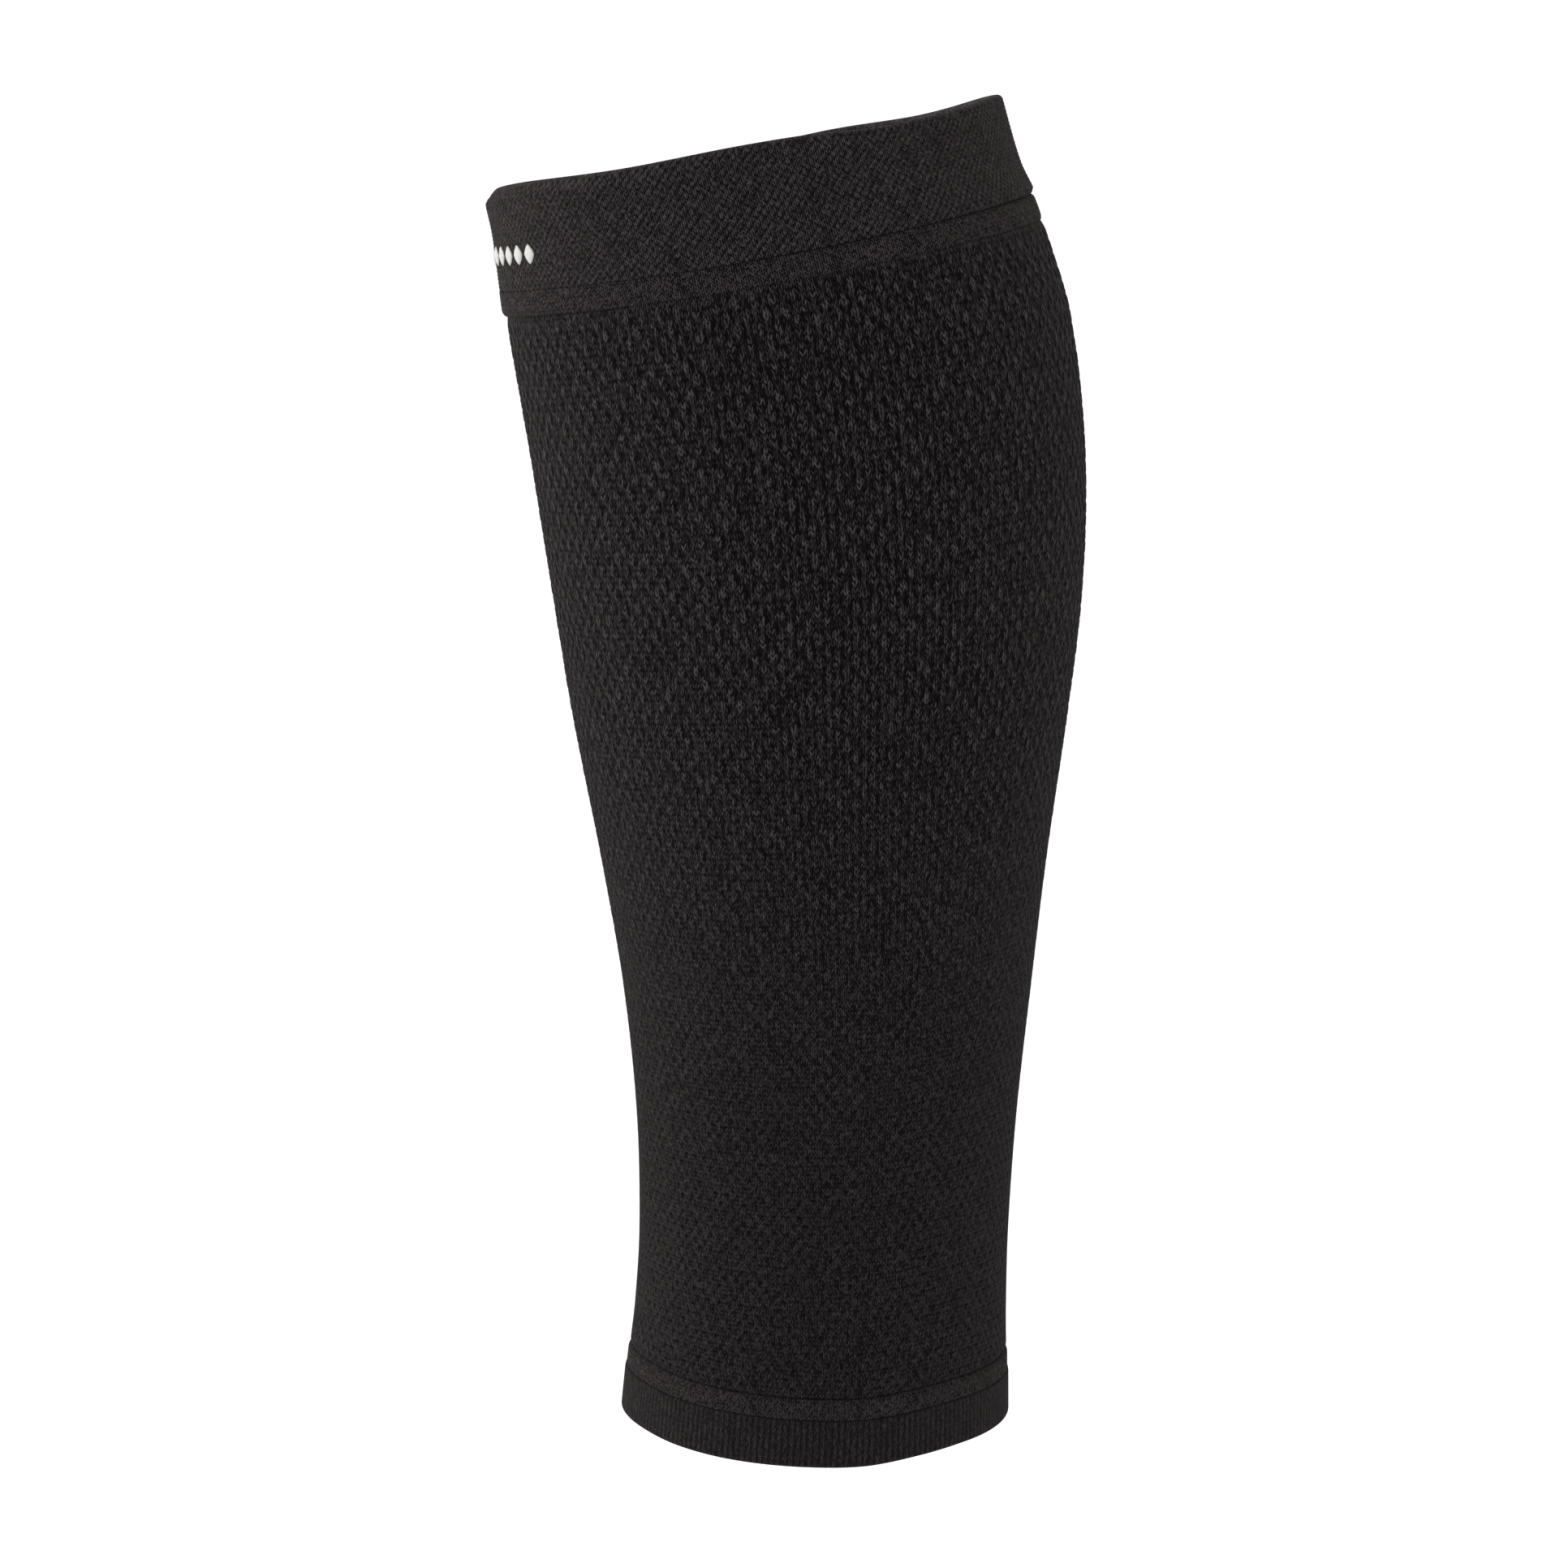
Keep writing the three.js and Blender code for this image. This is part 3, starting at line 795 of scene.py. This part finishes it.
class OBJECT_OT_sleeve_lozenges(bpy.types.Operator):
    """Embroiders a row of small plain lozenges on the front of the upper cuff"""

    bl_idname = "object.sleeve_lozenges"
    bl_label = "Lozenges"

    def execute(self, context):
        knit = context.scene.sleeve
        count, half_height = knit.lozenges, knit.lozenge_height / MM / 2
        pitch = LOZENGE_SPAN / count
        half_width = LOZENGE_HALF_SHARE * pitch
        # Rings from the middle of a lozenge out to its rim, then down into the cuff
        share = np.array([0.0, 0.35, 0.65, 0.88, 1.0, 1.0, 0.0])[:, None]
        rise = np.array([0.42, 0.4, 0.33, 0.2, 0.06, -0.12, -0.12])[:, None]
        rings = len(share)
        angle = np.arange(LOZENGE_POINTS) * 2 * math.pi / LOZENGE_POINTS
        powers = np.abs(np.cos(angle)) ** LOZENGE_CURVE + np.abs(np.sin(angle)) ** LOZENGE_CURVE
        rim = 1 / powers ** (1 / LOZENGE_CURVE)
        along = share * rim * np.cos(angle) * half_width
        above = share * rim * np.sin(angle) * half_height
        # One point for each of the two middles
        keep = [0] + list(range(LOZENGE_POINTS, (rings - 1) * LOZENGE_POINTS + 1))
        along, above = along.ravel()[keep], above.ravel()[keep]
        rise = np.broadcast_to(rise, (rings, LOZENGE_POINTS)).ravel()[keep]
        step = np.arange(LOZENGE_POINTS)
        following = (step + 1) % LOZENGE_POINTS
        faces = [(0, int(1 + i), int(1 + j)) for i, j in zip(step, following)]
        for ring in range(rings - 3):
            base = 1 + ring * LOZENGE_POINTS
            beyond = base + LOZENGE_POINTS
            faces += [
                (int(base + i), int(beyond + i), int(beyond + j), int(base + j))
                for i, j in zip(step, following)]
        under = 1 + (rings - 3) * LOZENGE_POINTS
        faces += [
            (int(under + i), int(under + LOZENGE_POINTS), int(under + j))
            for i, j in zip(step, following)]
        vertices, polygons, flat = [], [], []
        for index in range(count):
            middle = (index - (count - 1) / 2) * pitch
            turn = arc_turn(middle + along, cuff_line(0.0))
            height = cuff_line(turn) + LOZENGE_LIFT + above
            polygons += [[corner + len(along) * index for corner in face] for face in faces]
            vertices.append(wall_point(turn, height, UPPER_CUFF_WALL + rise))
            flat.append(np.stack([middle + along, above], axis=-1))
        vertices, flat = np.concatenate(vertices), np.concatenate(flat)
        mesh = bpy.data.meshes.new("cuff_lozenges")
        mesh.from_pydata(vertices * MM, [], polygons)
        mesh.polygons.foreach_set("use_smooth", np.ones(len(polygons), bool))
        corners = np.concatenate(polygons)
        for layer, scale, shift in (
            ("OFBake", 1 / LOZENGE_SPAN, 0.5),
            ("knit", 1 / THREAD_SPACING, 0.0),
        ):
            uv = (flat[corners] * scale + shift).astype(np.float32)
            mesh.uv_layers.new(name=layer).uv.foreach_set("vector", uv.ravel())
        mesh.materials.append(shared_material("polyester_embroidery_thread", embroidery_thread))
        piece = bpy.data.objects.new("cuff_lozenges", mesh)
        context.scene.collection.objects.link(piece)
        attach(piece, "root")
        return {"FINISHED"}


class OBJECT_OT_sleeve_bands(bpy.types.Operator):
    """Knits the two narrow bands of plain knit"""

    bl_idname = "object.sleeve_bands"
    bl_label = "Join bands"

    def execute(self, context):
        knit = context.scene.sleeve
        wales = knit.blisters_round * WALES_PER_BLISTER
        turn = turns_of(wales * COLUMNS_PER_WALE)[None, :]
        back = (1 - np.cos(turn)) / 2
        # At the front the upper band lies flush with the cuff, and the crease between them is faint
        flush = UPPER_CUFF_WALL - (UPPER_CUFF_WALL - JOIN_WALL) * smooth_step(1.6 * back)
        for name, node, courses, wall, line_below, line_above, crease_below, crease_above in (
            ("upper_join_knit", "upper_join_band", UPPER_JOIN_COURSES, flush,
             upper_join_line, cuff_line, (0.6 - 0.3 * back, 1.3), (0.05 + 0.5 * back, 0.9)),
            ("lower_join_knit", "lower_join_band", LOWER_JOIN_COURSES, JOIN_WALL,
             rib_line, lower_join_line, (0.12, 0.8), (0.75, 1.0)),
        ):
            low, high = line_below(turn) + HAIR_GAP / 2, line_above(turn) - HAIR_GAP / 2
            rows = np.linspace(0, 1, BAND_ROWS)[:, None]
            height = low + rows * (high - low)
            wale = WALE_HEIGHT * np.cos(turn * wales)
            out = wall + wale - crease(height - low, *crease_below)
            out = out - crease(high - height, *crease_above)
            down = slice(None, None, -BAND_LINING_STEP)
            inner = wall_point(turn, height[down], 0.0)
            ring = np.concatenate([wall_point(turn, height, out), inner])
            counted = np.concatenate([rows[:, 0], rows[down, 0]]) * courses
            relief = np.full(ring.shape[:2], 0.6)
            normals = grid_normals(ring, closed=True)
            piece = knit_tube(name, ring, normals, wales, counted, relief, 0,
                              shared_material("nylon_plain_knit", plain_knit))
            settle(piece, node)
        return {"FINISHED"}


class OBJECT_OT_sleeve_ankle_cuff(bpy.types.Operator):
    """Knits the ribbed cuff at the ankle"""

    bl_idname = "object.sleeve_ankle_cuff"
    bl_label = "Ankle cuff"

    def execute(self, context):
        knit = context.scene.sleeve
        turn = turns_of(knit.ribs_round * COLUMNS_PER_RIB)[None, :]
        low, high = ankle_edge(turn), rib_line(turn) - HAIR_GAP / 2
        radius = EDGE_ROUNDNESS * ANKLE_CUFF_WALL
        half_wall = ANKLE_CUFF_WALL / 2
        arc = np.linspace(-math.pi, 0, ANKLE_ROLL_ROWS)[1:-1, None]
        rows = np.linspace(0, 1, RIB_ROWS)[:, None]
        lining = np.linspace(1, 0, LINING_ROWS)[:, None]
        straight = low + radius + rows * (high - low - radius)
        height = np.concatenate([
            low + radius + radius * np.sin(arc) + 0 * turn, straight,
            low + radius + lining * (high - low - radius)])
        out = np.concatenate([
            half_wall + half_wall * np.cos(arc) + 0 * turn,
            np.full(straight.shape, ANKLE_CUFF_WALL), np.zeros((LINING_ROWS, turn.size))])
        along = np.concatenate([arc / math.pi * ANKLE_ROLLED_SHARE, rows, 2 - lining])
        rib = np.abs(np.cos(turn * knit.ribs_round / 2)) ** RIB_CURVE
        # The ribs fade out at both ends of the outside, and the lining has none
        ends = smooth_step((high - height) / 0.5)
        ends = ends * smooth_step((along + ANKLE_ROLLED_SHARE) / ANKLE_ROLLED_SHARE)
        ribbed = np.where(along > 1, 0, ends)
        sink = crease(high - height, 0.2, 0.9) * (along <= 1)
        out = out - knit.rib_height / MM * (1 - rib) * ribbed - sink
        ring = wall_point(turn, height, out)
        normals = grid_normals(ring, closed=True)
        # Painted light and shade: ribs painted lighter, furrows darker, and the lining at half
        relief = 0.15 + 0.75 * rib * np.where(along > 1, 0.5, 1)
        wales, courses = knit.ribs_round * WALES_PER_RIB, along[:, 0] * RIB_COURSES
        piece = knit_tube("ankle_rib_cuff", ring, normals, wales, courses, relief, 0,
                          shared_material("nylon_rib_knit", rib_knit))
        settle(piece, "ankle_cuff")
        return {"FINISHED"}


class VIEW3D_PT_sleeve(bpy.types.Panel):
    """Lists the pieces of the sleeve and what can be changed"""

    bl_label = "Calf Sleeve"
    bl_space_type = "VIEW_3D"
    bl_region_type = "UI"
    bl_category = "Sleeve"

    def draw(self, context):
        layout = self.layout
        for group in (context.scene.sleeve, context.scene.sleeve_studio):
            for name in group.__annotations__:
                layout.prop(group, name)
        for operator in OPERATORS:
            layout.operator(operator.bl_idname)


OPERATORS = (
    OBJECT_OT_sleeve_stage,
    OBJECT_OT_sleeve_body,
    OBJECT_OT_sleeve_bands,
    OBJECT_OT_sleeve_lozenges,
    OBJECT_OT_sleeve_upper_cuff,
    OBJECT_OT_sleeve_ankle_cuff,
)
CLASSES = (SleeveSettings, StudioSettings, *OPERATORS, VIEW3D_PT_sleeve)


def register():
    for cls in CLASSES:
        bpy.utils.register_class(cls)
    bpy.types.Scene.sleeve = bpy.props.PointerProperty(type=SleeveSettings)
    bpy.types.Scene.sleeve_studio = bpy.props.PointerProperty(type=StudioSettings)


def unregister():
    del bpy.types.Scene.sleeve_studio
    del bpy.types.Scene.sleeve
    for cls in reversed(CLASSES):
        bpy.utils.unregister_class(cls)


def main():
    register()
    bpy.ops.object.sleeve_stage()
    bpy.ops.object.sleeve_body()
    bpy.ops.object.sleeve_bands()
    bpy.ops.object.sleeve_lozenges()
    bpy.ops.object.sleeve_upper_cuff()
    bpy.ops.object.sleeve_ankle_cuff()


if __name__ == "__main__":
    main()
